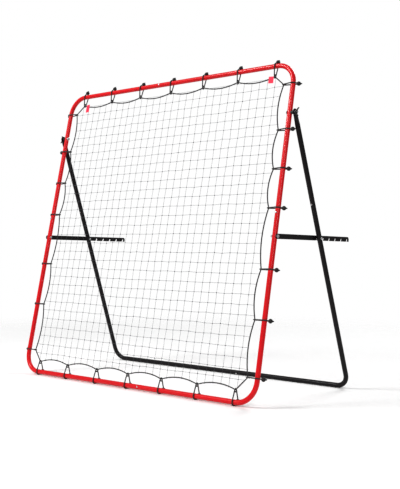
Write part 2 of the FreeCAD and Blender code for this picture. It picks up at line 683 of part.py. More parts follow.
def net():
    """The mesh as one holed face, coarser than the real net."""
    cord_r = EDGE_CORD_D / 2
    outline = inset_outline(cord_r + NET_GAP)
    inner = inset_outline(cord_r + NET_GAP + NET_RIM)
    gaps = Part.Face(Part.makePolygon(inner + inner[:1]))
    middle_v, half = TOP_V / 2, NET_TWINE / 2
    lines = int(max(HALF_W, middle_v) / NET_PITCH)
    strands = []
    for i in range(-lines, lines + 1):
        x, v = i * NET_PITCH, middle_v + i * NET_PITCH
        strands.append(strand(x - half, x + half, 0, TOP_V))
        strands.append(strand(-HALF_W, HALF_W, v - half, v + half))
    gaps = gaps.cut(strands)
    smallest_gap = NET_TWINE * NET_PITCH
    holes = [face.OuterWire for face in gaps.Faces if face.Area > smallest_gap]
    sheet = Part.makeFace([Part.makePolygon(outline + outline[:1])] + holes, "Part::FaceMakerBullseye")
    print("net gaps", len(holes))
    solid = sheet.extrude(V(0, NET_THICKNESS, 0))
    solid.translate(V(0, -NET_THICKNESS / 2, 0))
    return on_frame(solid)


def net_tags():
    """Plain tags that hang from the edge cord in front of the net, near its upper corners."""
    nodes = {}
    top = TOP_V - NET_INSET
    front = -EDGE_CORD_D / 2 - NET_GAP
    for name, (offset, width, drop) in TAGS.items():
        side = 1 if name == "right" else -1
        middle = side * (END_LOOP_X - offset)
        tag = Part.makeBox(width, TAG_T, drop, V(middle - width / 2, front - TAG_T, top - drop))
        nodes["net_tag_" + name] = on_frame(tag)
    return nodes


# --- elastic loops and balls ------------------------------------------------------------------
BALL_OUT = TUBE_R + BALL_STANDOFF + BALL_D / 2      # ball's centre from the tube's centre


def hull(points):
    """The convex outline round points in a plane, anticlockwise."""
    points = sorted(points)

    def half(ordered):
        chain = []
        for p in ordered:
            while len(chain) > 1 and ((chain[-1][0] - chain[-2][0]) * (p[1] - chain[-2][1])
                                      - (chain[-1][1] - chain[-2][1]) * (p[0] - chain[-2][0])) <= 1e-9:
                chain.pop()
            chain.append(p)
        return chain[:-1]

    return half(points) + half(points[::-1])


def round_points(centre, radius, count):
    """Corners of a polygon drawn round a circle."""
    corner_r = radius / math.cos(math.pi / count)
    return [(centre[0] + x, centre[1] + y) for x, y in
            (polar(corner_r, 360 * (i + 0.5) / count) for i in range(count))]


def loop_outline(ball, extra):
    """The loop's outline: outward distance and rearward distance from the tube's centre."""
    return hull(round_points((0.0, 0.0), TUBE_R + LOOP_GAP + extra, LOOP_SIDES)
                + round_points((-NET_INSET, 0.0), EDGE_CORD_D / 2 + LOOP_PLAY + extra, 4)
                + round_points(ball, EDGE_CORD_D / 2 + extra, 4))


def elastic_loop(tube_point, outwards, along, turn):
    """An elastic loop round the tube and the ball on it; turn tilts the ball to the rear."""
    ball = polar(BALL_OUT, turn)
    rearwards = V(0, 1, 0)

    def ring(extra):
        corners = [tube_point + outwards * a + rearwards * n - along * (LOOP_CORD / 2)
                   for a, n in loop_outline(ball, extra)]
        return Part.Face(Part.makePolygon(corners + corners[:1])).extrude(along * LOOP_CORD)

    cord = ring(LOOP_CORD).cut(ring(0.0))
    centre = tube_point + outwards * ball[0] + rearwards * ball[1]
    return on_frame(cord), on_frame(faceted_ball(centre, BALL_D / 2))


def bungees():
    sets = {
        "top": [(V(x, 0, TOP_V), V(0, 0, 1), X_AXIS, BALL_TURN) for x in RAIL_XS],
        "bottom": [(V(x, 0, 0), V(0, 0, -1), X_AXIS, 90 + FRAME_LEAN) for x in RAIL_XS],
    }

    def on_upright(side, v, turn):
        return V(side * HALF_W, 0, v), V(side, 0, 0), UP, turn

    for name, side in (("left", -1), ("right", 1)):
        sets[name] = [on_upright(side, v, BALL_TURN) for v in SIDE_LOOPS + [CORNER_LOOP_V]]
    sets["pivot"] = [on_upright(side, PIVOT_LOOP_V, PIVOT_BALL_TURN) for side in (-1, 1)]
    below_floor = Part.makeBox(2 * FRAME_WIDTH, 4 * TUBE_D, TUBE_D, V(-FRAME_WIDTH, -2 * TUBE_D, -TUBE_D))
    nodes = {}
    for name, loops in sets.items():
        pairs = [elastic_loop(*loop) for loop in loops]
        cords = [cord.cut(below_floor) if name == "bottom" else cord for cord, _ in pairs]
        nodes["bungee_cords_" + name] = Part.makeCompound(cords)
        nodes["bungee_balls_" + name] = Part.makeCompound([ball for _, ball in pairs])
    return nodes


# --- the whole object -------------------------------------------------------------------------
def build():
    nodes = {}
    for group in (frame_tubes(), frame_buttons(), stand(), pivots(), adjusters(), net_tags(), bungees()):
        nodes.update(group)
    nodes["net_edge_cord"] = net_edge_cord()
    nodes["net"] = net()
    return nodes


def main():
    nodes = build()
    box = Part.makeCompound(list(nodes.values())).optimalBoundingBox(False)
    shift = V(0, -(box.YMin + box.YMax) / 2, 0)
    os.makedirs("parts", exist_ok=True)
    for name, shape in sorted(nodes.items()):
        shape.translate(shift)
        shape.exportStep("parts/" + name + ".step")
        if not shape.isValid():
            print("not valid:", name)
    print("size", [round(s, 1) for s in (box.XLength, box.YLength, box.ZLength)],
          "bottom", round(box.ZMin, 3), "nodes", len(nodes))
    for name, point in (("pivot axis", PIVOT), ("bar bolt axis", BAR_BOLT), ("cross pin", PIN)):
        place = point + shift
        print(name, "y", round(place.y, 4), "z", round(place.z, 4))
    print("stand fold", round(STAND_FOLD, 4), "bar swing", round(BAR_SWING, 4),
          "leg angle", round(LEG_ANGLE, 3), "bar angle", round(BAR_ANGLE, 3),
          "button travel", round(BUTTON_TRAVEL, 3), "first slot", round(FIRST_SLOT, 2))


main()
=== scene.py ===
import json
import math
import random

import bmesh
import bpy
from mathutils import Matrix, Vector


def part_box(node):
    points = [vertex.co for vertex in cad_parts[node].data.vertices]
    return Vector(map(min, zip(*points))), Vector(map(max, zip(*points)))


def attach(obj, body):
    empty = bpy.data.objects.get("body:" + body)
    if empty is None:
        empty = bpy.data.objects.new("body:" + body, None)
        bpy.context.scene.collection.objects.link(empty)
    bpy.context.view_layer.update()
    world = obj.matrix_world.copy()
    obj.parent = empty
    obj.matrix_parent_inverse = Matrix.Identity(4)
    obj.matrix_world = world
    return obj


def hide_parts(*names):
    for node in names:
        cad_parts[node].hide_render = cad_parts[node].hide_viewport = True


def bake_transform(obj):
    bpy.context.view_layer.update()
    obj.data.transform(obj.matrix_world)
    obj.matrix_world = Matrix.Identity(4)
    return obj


# Looks of a folding ball rebounder. Row frame: +X to the viewer's right, +Y to the rear, +Z up.
# Sizes are in millimetres until a point is made; every mesh is in metres.

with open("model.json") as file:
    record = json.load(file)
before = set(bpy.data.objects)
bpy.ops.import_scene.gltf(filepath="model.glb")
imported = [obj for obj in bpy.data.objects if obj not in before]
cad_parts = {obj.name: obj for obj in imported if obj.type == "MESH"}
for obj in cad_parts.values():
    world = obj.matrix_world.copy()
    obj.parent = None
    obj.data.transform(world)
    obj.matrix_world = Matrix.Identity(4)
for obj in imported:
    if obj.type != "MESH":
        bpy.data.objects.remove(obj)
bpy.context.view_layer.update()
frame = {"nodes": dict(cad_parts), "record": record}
MM = 0.001

# --- driving sizes: the part source's, but for a finer net, smaller balls and snugger loops ----
TUBE_R = 11.0
FRAME_WIDTH, FRAME_HEIGHT = 1500.0, 1500.0
FRAME_BEND_R = 94.0
FRAME_LEAN = math.radians(11.8)
HALF_W = FRAME_WIDTH / 2 - TUBE_R
TOP_V = FRAME_HEIGHT - 2 * TUBE_R
RAIL_BUTTON = 81.0
UPRIGHT_BUTTON_V = TOP_V / 2 + 61.0
SEAM = 30.0                     # button to seam
SEAM_GAP = 0.05
PIVOT_V = 1248.0
BAR_BOLT_V = 698.0
STAND_REACH = 678.0
STAND_BEND_R = 60.0
LEG_BUTTON_DROP = 416.0
BASE_BUTTON_X = 117.0
PIN_DROP = 577.0
BAR_T = 3.0
WASHER_T = 1.5
FACE_GAP = 0.1
BAR_X = HALF_W + TUBE_R + WASHER_T + FACE_GAP
LEG_X = BAR_X + BAR_T + 1.4 + TUBE_R
FLAT_T, FLAT_W, FLAT_L, TAPER_L = 4.0, 30.0, 22.0, 38.0
NET_INSET = 50.0
SCALLOP = 17.0
EDGE_R = 2.5
TWINE_R = 0.55
MESH = 44.2
MESH_SHIFT = 17.7
ELASTIC_R = 2.5
TAGS = {"left": (-1, 31.0, 22.0, 42.0),         # side, offset, width, drop
        "right": (1, 17.5, 27.0, 32.0)}
BALL_R = 9.6
BALL_OUT = TUBE_R + 14.0        # ball's centre from the tube's
BALL_TURN, PIVOT_BALL_TURN = 25, 5      # degrees towards the rear
TOP_BALL_TURNS = (8, 14, 22, 25, 25, 22, 25)
BOTTOM_BALL_TURN = 90 + math.degrees(FRAME_LEAN)        # level, straight behind the tube
LOOP_GAP, LOOP_PLAY = 0.3, 0.4  # loop to the tube and to the edge cord
RAIL_XS = [(i - 3) * 211.5 for i in range(7)]
SIDE_VS = [106.0, 343.0, 556.0, BAR_BOLT_V + 124.0, BAR_BOLT_V + 298.0]
PIVOT_LOOP_V = PIVOT_V - 76.0
CORNER_LOOP_V = TOP_V - 95.0

# --- the leaning frame's plane, from a CAD tube's box, and the stand's ------------------------
low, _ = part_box("frame_bottom_left")
ORIGIN = Vector((0, low.y + TUBE_R * MM, low.z + TUBE_R * MM))
ACROSS = Vector((1, 0, 0))
UP_FRAME = Vector((0, math.sin(FRAME_LEAN), math.cos(FRAME_LEAN)))
REAR = Vector((0, math.cos(FRAME_LEAN), -math.sin(FRAME_LEAN)))


def at(x, v, n=0.0):
    """A point on the leaning frame: across, up the frame and behind its plane."""
    return ORIGIN + (ACROSS * x + UP_FRAME * v + REAR * n) * MM


PIVOT = at(0, PIVOT_V)
STAND_FOOT = Vector((0, ORIGIN.y + STAND_REACH * MM, TUBE_R * MM))
LEG_LENGTH = (STAND_FOOT - PIVOT).length / MM
DOWN_LEG = (STAND_FOOT - PIVOT).normalized()
LEG_REAR = Vector((0, -DOWN_LEG.z, DOWN_LEG.y))


def on_stand(x, drop, n=0.0):
    """A point on the stand: across, down the leg from the pivot and behind the leg's plane."""
    return PIVOT + (ACROSS * x + DOWN_LEG * drop + LEG_REAR * n) * MM


# --- materials --------------------------------------------------------------------------------
def new_material(name):
    material = bpy.data.materials.new(name)
    material.use_nodes = True
    tree = material.node_tree
    return material, tree, tree.nodes["Principled BSDF"]


def textured(tree, kind, scale, **values):
    coordinates = tree.nodes.new("ShaderNodeTexCoord")
    texture = tree.nodes.new(kind)
    texture.inputs["Scale"].default_value = scale
    for key, value in values.items():
        texture.inputs[key].default_value = value
    tree.links.new(coordinates.outputs["Object"], texture.inputs["Vector"])
    return texture


def ramp(tree, factor, stops):
    node = tree.nodes.new("ShaderNodeValToRGB")
    elements = node.color_ramp.elements
    while len(elements) < len(stops):
        elements.new(0.5)
    for element, (position, colour) in zip(elements, stops):
        element.position = position
        element.color = (*colour, 1.0)
    tree.links.new(factor, node.inputs["Fac"])
    return node.outputs["Color"]


def value_range(tree, factor, low_value, high_value):
    node = tree.nodes.new("ShaderNodeMapRange")
    node.inputs["To Min"].default_value = low_value
    node.inputs["To Max"].default_value = high_value
    tree.links.new(factor, node.inputs["Value"])
    return node.outputs["Result"]


def bump(tree, shader, height, strength, distance):
    node = tree.nodes.new("ShaderNodeBump")
    node.inputs["Strength"].default_value = strength
    node.inputs["Distance"].default_value = distance
    tree.links.new(height, node.inputs["Height"])
    tree.links.new(node.outputs["Normal"], shader.inputs["Normal"])


def powder_coat(name, dark, light, roughness, coat, peel):
    """Baked paint: slight orange peel, faint colour drift and an uneven gloss."""
    material, tree, shader = new_material(name)
    drift = textured(tree, "ShaderNodeTexNoise", 3.0, Detail=4.0)
    colour = ramp(tree, drift.outputs["Fac"], [(0.35, dark), (0.65, light)])
    tree.links.new(colour, shader.inputs["Base Color"])
    smear = textured(tree, "ShaderNodeTexNoise", 40.0, Detail=6.0)
    rough = value_range(tree, smear.outputs["Fac"], roughness - 0.05, roughness + 0.08)
    tree.links.new(rough, shader.inputs["Roughness"])
    shader.inputs["Coat Weight"].default_value = coat
    shader.inputs["Coat Roughness"].default_value = 0.08
    shader.inputs["Specular IOR Level"].default_value = 0.25
    grain = textured(tree, "ShaderNodeTexNoise", 900.0, Detail=2.0)
    bump(tree, shader, grain.outputs["Fac"], peel, 0.0002)
    return material


def plated_steel(name, dark, light, roughness):
    """Plated or bare steel with a mottled, finely uneven surface."""
    material, tree, shader = new_material(name)
    mottle = textured(tree, "ShaderNodeTexNoise", 220.0, Detail=5.0)
    colour = ramp(tree, mottle.outputs["Fac"], [(0.3, dark), (0.7, light)])
    tree.links.new(colour, shader.inputs["Base Color"])
    shader.inputs["Metallic"].default_value = 1.0
    rough = value_range(tree, mottle.outputs["Fac"], roughness - 0.08, roughness + 0.1)
    tree.links.new(rough, shader.inputs["Roughness"])
    grain = textured(tree, "ShaderNodeTexNoise", 1500.0, Detail=2.0)
    bump(tree, shader, grain.outputs["Fac"], 0.15, 0.0001)
    return material


def moulded(name, dark, light, roughness, grain_scale, strength):
    """Moulded plastic or rubber with a fine grain."""
    material, tree, shader = new_material(name)
    mottle = textured(tree, "ShaderNodeTexNoise", 60.0, Detail=4.0)
    colour = ramp(tree, mottle.outputs["Fac"], [(0.3, dark), (0.7, light)])
    tree.links.new(colour, shader.inputs["Base Color"])
    rough = value_range(tree, mottle.outputs["Fac"], roughness - 0.06, roughness + 0.08)
    tree.links.new(rough, shader.inputs["Roughness"])
    grain = textured(tree, "ShaderNodeTexVoronoi", grain_scale)
    bump(tree, shader, grain.outputs["Distance"], strength, 0.0003)
    return material


def braided(name, dark, light, scale, strength):
    """Cord or twine: small light and dark cells in place of single strands."""
    material, tree, shader = new_material(name)
    strands = textured(tree, "ShaderNodeTexVoronoi", scale)
    colour = ramp(tree, strands.outputs["Distance"], [(0.0, light), (0.6, dark)])
    tree.links.new(colour, shader.inputs["Base Color"])
    shader.inputs["Roughness"].default_value = 0.85
    shader.inputs["Sheen Weight"].default_value = 0.25
    bump(tree, shader, strands.outputs["Distance"], strength, 0.0005)
    return material


def woven_tag(name, dark, light):
    """Plain coated cloth with a fine weave."""
    material, tree, shader = new_material(name)
    weave = textured(tree, "ShaderNodeTexBrick", 600.0)
    weave.inputs["Color1"].default_value = (*dark, 1.0)
    weave.inputs["Color2"].default_value = (*light, 1.0)
    weave.inputs["Mortar"].default_value = (*dark, 1.0)
    tree.links.new(weave.outputs["Color"], shader.inputs["Base Color"])
    shader.inputs["Roughness"].default_value = 0.6
    bump(tree, shader, weave.outputs["Fac"], 0.3, 0.0002)
    return material


MATERIALS = {
    "red_tube": powder_coat("red powder coat", (0.62, 0.004, 0.010), (0.69, 0.006, 0.014),
                            roughness=0.34, coat=0.25, peel=0.05),
    "black_tube": powder_coat("black powder coat", (0.006, 0.005, 0.006), (0.010, 0.008, 0.009),
                              roughness=0.42, coat=0.1, peel=0.06),
    "zinc": plated_steel("zinc plate", (0.45, 0.45, 0.46), (0.68, 0.68, 0.69), roughness=0.32),
    "spring_steel": plated_steel("spring steel", (0.25, 0.25, 0.27), (0.42, 0.42, 0.44),
                                 roughness=0.3),
    "black_plastic": moulded("black plastic", (0.01, 0.01, 0.01), (0.02, 0.02, 0.02),
                             roughness=0.5, grain_scale=1800.0, strength=0.2),
    "rubber_ball": moulded("black rubber", (0.008, 0.008, 0.008), (0.018, 0.017, 0.017),
                           roughness=0.55, grain_scale=900.0, strength=0.15),
    "net_twine": braided("net twine", (0.05, 0.052, 0.062), (0.12, 0.125, 0.145),
                         scale=900.0, strength=0.5),
    "edge_cord": braided("edge cord", (0.012, 0.012, 0.013), (0.04, 0.04, 0.043),
                         scale=700.0, strength=0.6),
    "elastic": braided("elastic cord", (0.012, 0.012, 0.012), (0.045, 0.045, 0.048),
                       scale=800.0, strength=0.6),
    "tag": woven_tag("tag cloth", (0.78, 0.01, 0.055), (0.86, 0.02, 0.09)),
}


# --- mesh helpers -----------------------------------------------------------------------------
SHARP_ANGLE = math.radians(35)


def piece(name, slot, body, vertices, faces, replaces=()):
    """A mesh object in the row frame, dressed, riding on a body."""
    mesh = bpy.data.meshes.new(name)
    mesh.from_pydata([tuple(v) for v in vertices], [], faces)
    mesh.validate()
    mesh.update()
    obj = bpy.data.objects.new(name, mesh)
    bpy.context.scene.collection.objects.link(obj)
    obj.data.materials.append(MATERIALS[slot])
    tidy = bmesh.new()
    tidy.from_mesh(mesh)
    bmesh.ops.recalc_face_normals(tidy, faces=tidy.faces)
    tidy.to_mesh(mesh)
    tidy.free()
    for polygon in mesh.polygons:
        polygon.use_smooth = True
    mesh.set_sharp_from_angle(angle=SHARP_ANGLE)
    if body:
        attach(obj, body)
    if replaces:
        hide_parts(*replaces)
    return obj


class Builder:
    """Collects rings, tubes and lathed shapes into one mesh."""

    def __init__(self):
        self.vertices, self.faces = [], []

    def ring(self, centre, side, up, radius, count):
        first = len(self.vertices)
        for i in range(count):
            a = 2 * math.pi * i / count
            self.vertices.append(
                centre + side * (radius * math.cos(a)) + up * (radius * math.sin(a)))
        return first

    def join(self, a, b, count):
        for i in range(count):
            j = (i + 1) % count
            self.faces.append((a + i, a + j, b + j, b + i))

    def cap(self, a, count):
        self.faces.append(tuple(range(a, a + count)))

    def skin(self, rings, count):
        """Walls from each ring to the next, and a face over either end."""
        for a, b in zip(rings, rings[1:]):
            self.join(a, b, count)
        self.cap(rings[0], count)
        self.cap(rings[-1], count)

    def close_round(self, rings, count):
        """Walls from each ring to the next, and from the last to the first."""
        for a, b in zip(rings, rings[1:] + rings[:1]):
            self.join(a, b, count)

    def tube(self, path, radius, sides, closed=False, normal=None):
        """A tube along a list of points; radius is a number or one number for each point."""
        count = len(path)
        radii = radius if isinstance(radius, list) else [radius] * count
        up = normal
        rings = []
        for i, point in enumerate(path):
            before = path[i - 1] if i or closed else path[0]
            after = path[(i + 1) % count] if i + 1 < count or closed else path[-1]
            along = (after - before).normalized()
            if up is None:
                up = along.orthogonal()
            side = along.cross(up).normalized()
            up = side.cross(along).normalized()
            rings.append(self.ring(point, side, up, radii[i], sides))
        if closed:
            self.close_round(rings, sides)
        else:
            self.skin(rings, sides)

    def lathe(self, origin, axis, profile, sides=32, facing=None):
        """A turned shape: profile is (distance along, radius) in millimetres."""
        axis = axis.normalized()
        side = axis.cross(facing).normalized() if facing else axis.orthogonal().normalized()
        up = side.cross(axis)
        rings = [self.ring(origin + axis * (along * MM), side, up, max(radius, 0.01) * MM, sides)
                 for along, radius in profile]
        self.skin(rings, sides)

    def finish(self, name, slot, body, replaces=()):
        return piece(name, slot, body, self.vertices, self.faces, replaces)


def softened(obj, width):
    """Small rounded edges on a carried-over node."""
    modifier = obj.modifiers.new("rounded edges", "BEVEL")
    modifier.width = width * MM
    modifier.segments = 2
    modifier.limit_method = "ANGLE"
    modifier.angle_limit = math.radians(30)
    modifier.harden_normals = False


# --- tubes ------------------------------------------------------------------------------------
BEND_STEPS = 24
TUBE_SIDES = 40
END_CHAMFER = 0.5
END_R = TUBE_R - 0.8 * END_CHAMFER


def bend_path(start, corner, end, bend_radius):
    """Two straight arms joined by a quarter turn, with short steps at the tube's two ends."""
    to_start, to_end = (start - corner).normalized(), (end - corner).normalized()
    centre = corner + (to_start + to_end) * bend_radius
    bend = []
    for i in range(BEND_STEPS + 1):
        a = math.pi / 2 * i / BEND_STEPS
        bend.append(centre - to_end * (bend_radius * math.cos(a))
                    - to_start * (bend_radius * math.sin(a)))
    chamfer = END_CHAMFER * MM
    return [start, start - to_start * chamfer] + bend + [end - to_end * chamfer, end]


def bent_tube(name, slot, body, node, start, corner, end, bend_radius):
    """A corner tube: its outside only, because neither bore nor joint shows at rest."""
    builder = Builder()
    path = bend_path(start, corner, end, bend_radius * MM)
    radii = [END_R * MM] + [TUBE_R * MM] * (len(path) - 2) + [END_R * MM]
    normal = (start - corner).cross(end - corner).normalized()
    builder.tube(path, radii, TUBE_SIDES, normal=normal)
    return builder.finish(name, slot, body, [node])


def frame_tubes():
    top_left_seam = at(-RAIL_BUTTON - SEAM, TOP_V)
    top_right_seam = at(-RAIL_BUTTON - SEAM + SEAM_GAP, TOP_V)
    right_seam = UPRIGHT_BUTTON_V + SEAM
    left_seam = UPRIGHT_BUTTON_V - SEAM
    bottom_seam = RAIL_BUTTON + SEAM
    bent_tube("red_tube_top_left", "red_tube", "frame", "frame_top_left",
              at(-HALF_W, left_seam), at(-HALF_W, TOP_V), top_left_seam, FRAME_BEND_R)
    bent_tube("red_tube_top_right", "red_tube", "frame", "frame_top_right",
              top_right_seam, at(HALF_W, TOP_V), at(HALF_W, right_seam), FRAME_BEND_R)
    bent_tube("red_tube_bottom_right", "red_tube", "frame", "frame_bottom_right",
              at(HALF_W, right_seam - SEAM_GAP), at(HALF_W, 0), at(bottom_seam, 0), FRAME_BEND_R)
    bent_tube("red_tube_bottom_left", "red_tube", "frame", "frame_bottom_left",
              at(bottom_seam - SEAM_GAP, 0), at(-HALF_W, 0), at(-HALF_W, left_seam - SEAM_GAP),
              FRAME_BEND_R)


def stand_tubes():
    leg_seam = LEG_BUTTON_DROP + SEAM
    base_seam = BASE_BUTTON_X + SEAM
    for side, name, seam_x in ((1, "right", base_seam), (-1, "left", base_seam - SEAM_GAP)):
        bent_tube("stand_tube_" + name, "black_tube", "stand", "stand_corner_" + name,
                  on_stand(side * LEG_X, leg_seam), on_stand(side * LEG_X, LEG_LENGTH),
                  on_stand(seam_x, LEG_LENGTH), STAND_BEND_R)
        pressed_leg(side, name, leg_seam - SEAM_GAP)


LEG_SIDES, TAPER_STEPS = 48, 14
SQUARED_T, SQUARED_W = 0.72, 0.45       # how far pressing squares the round section


def squared(value, power):
    """A sine or cosine pushed towards a square section."""
    return math.copysign(abs(value) ** power, value)


def pressed_leg(side, name, seam):
    """An upper leg whose top end is pressed flat, with a smooth run into the round tube."""
    builder = Builder()
    rings = []
    stations = [(-FLAT_W / 2 * math.cos(math.radians(10 * i)), 1.0) for i in range(1, 10)]
    stations += [(FLAT_L * i / 4, 1.0) for i in range(1, 5)]
    stations += [(FLAT_L + TAPER_L * i / TAPER_STEPS, 1 - i / TAPER_STEPS)
                 for i in range(1, TAPER_STEPS + 1)]
    stations += [(seam - END_CHAMFER, 0.0), (seam, 0.0)]
    for index, (drop, flatness) in enumerate(stations):
        blend_in = flatness * flatness * (3 - 2 * flatness)
        half_t = TUBE_R + (FLAT_T / 2 - TUBE_R) * blend_in
        half_w = TUBE_R + (FLAT_W / 2 - TUBE_R) * blend_in
        if drop < 0:
            half_w = math.sqrt((FLAT_W / 2) ** 2 - drop * drop)
        if index == len(stations) - 1:
            half_t = half_w = END_R
        rings.append(len(builder.vertices))
        for i in range(LEG_SIDES):
            a = 2 * math.pi * i / LEG_SIDES
            x = squared(math.cos(a), 1.0 - SQUARED_T * blend_in) * half_t
            y = squared(math.sin(a), 1.0 - SQUARED_W * blend_in) * half_w
            builder.vertices.append(on_stand(side * (LEG_X + x), drop, y))
    builder.skin(rings, LEG_SIDES)
    builder.finish("stand_leg_tube_" + name, "black_tube", "stand", ["stand_leg_" + name])


# --- snap buttons, bolts, nuts and pins -------------------------------------------------------
BORE_SEAT, FAR_WALL = 5.08, -7.85
SPRING_T, SPRING_WIDTH = 0.8, 6.0
SPRING_BACK, SPRING_APEX = 5.5, 28.5
SPRING_TURN_STEPS = 10
BUTTON_R, FLANGE_R, FLANGE_T = 4.0, 5.5, 1.0
BUTTON_SHOULDER, BUTTON_DOME_R = TUBE_R + 1.2, 1.8
BOLT_R, BAR_BOLT_R = 4.0, 2.9
BOLT_HOLE_R, BAR_BOLT_HOLE_R = 4.05, 3.1
THREAD_DEPTH = 0.35
DOME_H, WASHER_R, PIN_COLLAR_R = 4.5, 8.0, 6.5
HEX_FLATS, HEX_HEAD_T, NUT_T = 10.0, 4.0, 6.0
HUB_H, BOLT_PAST_HUB = 9.0, 2.5
WING_STEPS, WING_SIDES = 12, 16
WING_FOOT, WING_RISE, WING_HALF_W = 4.5, 15.3, 4.2
WING_ROUND_FROM = 0.8           # share of the wing where its tip starts to round


def button(name, centre, outwards):
    """A snap button: a flange inside the tube and a domed head standing out of it."""
    builder = Builder()
    flange = BORE_SEAT + 0.1
    back = flange + FLANGE_T
    profile = [(flange, FLANGE_R - 0.3), (flange + 0.3, FLANGE_R), (back - 0.3, FLANGE_R),
               (back, FLANGE_R - 0.3), (back, BUTTON_R), (BUTTON_SHOULDER, BUTTON_R)]
    profile += [(BUTTON_SHOULDER + BUTTON_DOME_R * math.sin(a),
                 BUTTON_R - BUTTON_DOME_R * (1 - math.cos(a)))
                for a in (math.radians(15 * i) for i in range(1, 7))]
    builder.lathe(centre, outwards, profile + [(BUTTON_SHOULDER + BUTTON_DOME_R, 0.01)], 28)
    builder.finish(name + "_head", "zinc", name, [name])


def button_spring(name, carrier, centre, outwards, way):
    """A bent leaf spring: one limb moves with the button, the other rests on the far wall."""
    near, far = BORE_SEAT - SPRING_T / 2, FAR_WALL + SPRING_T / 2
    middle, turn_r = (near + far) / 2, 1.5
    turn_a = SPRING_APEX - SPRING_T / 2 - turn_r
    line = [(-SPRING_BACK, near), (0.0, near), (SPRING_BACK, near)]
    line += [(turn_a + turn_r * math.cos(a), middle + turn_r * math.sin(a)) for a in
             (math.radians(78 - 156 * i / SPRING_TURN_STEPS) for i in range(SPRING_TURN_STEPS + 1))]
    line += [(SPRING_BACK, far), (0.0, far), (-SPRING_BACK, far)]
    across = outwards.cross(way)
    half_w, half_t, eased = SPRING_WIDTH / 2, SPRING_T / 2, 0.12
    upper = [(half_w, half_t - eased), (half_w - eased, half_t),
             (eased - half_w, half_t), (-half_w, half_t - eased)]
    section = upper + [(-width, -thick) for width, thick in upper]
    builder = Builder()
    rings = []
    for i, (a, h) in enumerate(line):
        before, after = line[max(i - 1, 0)], line[min(i + 1, len(line) - 1)]
        run = Vector((after[0] - before[0], after[1] - before[1])).normalized()
        rings.append(len(builder.vertices))
        for width, thick in section:
            builder.vertices.append(centre + (way * (a - run.y * thick)
                                              + outwards * (h + run.x * thick) + across * width) * MM)
    builder.skin(rings, len(section))
    obj = builder.finish(name.replace("button", "spring"), "spring_steel", None,
                         [carrier + "_button_springs"])
    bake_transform(obj)


def buttons():
    places = [("frame_button_top", "frame", at(-RAIL_BUTTON, TOP_V), -ACROSS),
              ("frame_button_bottom", "frame", at(RAIL_BUTTON, 0), ACROSS),
              ("frame_button_right", "frame", at(HALF_W, UPRIGHT_BUTTON_V), UP_FRAME),
              ("frame_button_left", "frame", at(-HALF_W, UPRIGHT_BUTTON_V), -UP_FRAME),
              ("stand_button_right", "stand", on_stand(LEG_X, LEG_BUTTON_DROP), DOWN_LEG),
              ("stand_button_left", "stand", on_stand(-LEG_X, LEG_BUTTON_DROP), DOWN_LEG),
              ("stand_button_base", "stand", on_stand(BASE_BUTTON_X, LEG_LENGTH), ACROSS)]
    for name, carrier, centre, way in places:
        outwards = -REAR if carrier == "frame" else -LEG_REAR
        button(name, centre, outwards)
        button_spring(name, carrier, centre, outwards, way)


def rounded_disc(x1, x2, radius, hole):
    """Profile of a plain disc with eased edges."""
    edge = 0.35
    return [(x1, hole), (x1, radius - edge), (x1 + edge, radius),
            (x2 - edge, radius), (x2, radius - edge), (x2, hole)]


def hexagon(builder, centre, outwards, x1, x2, across_flats):
    """A hexagon head or nut with its corners turned off."""
    corner = across_flats / math.sqrt(3)
    profile = [(x1, corner * 0.9), (x1 + 0.5, corner), (x2 - 0.6, corner), (x2, corner * 0.88)]
    builder.lathe(centre, outwards, profile, 6, UP_FRAME)


def threaded_end(start, end, radius, pitch=1.25):
    """Profile of a short thread's crests and roots."""
    points = []
    turns = int((end - start) / pitch)
    for i in range(turns):
        points += [(start + i * pitch, radius - THREAD_DEPTH), (start + (i + 0.5) * pitch, radius)]
    return points + [(end - 0.4, radius - THREAD_DEPTH), (end, radius - 0.8)]


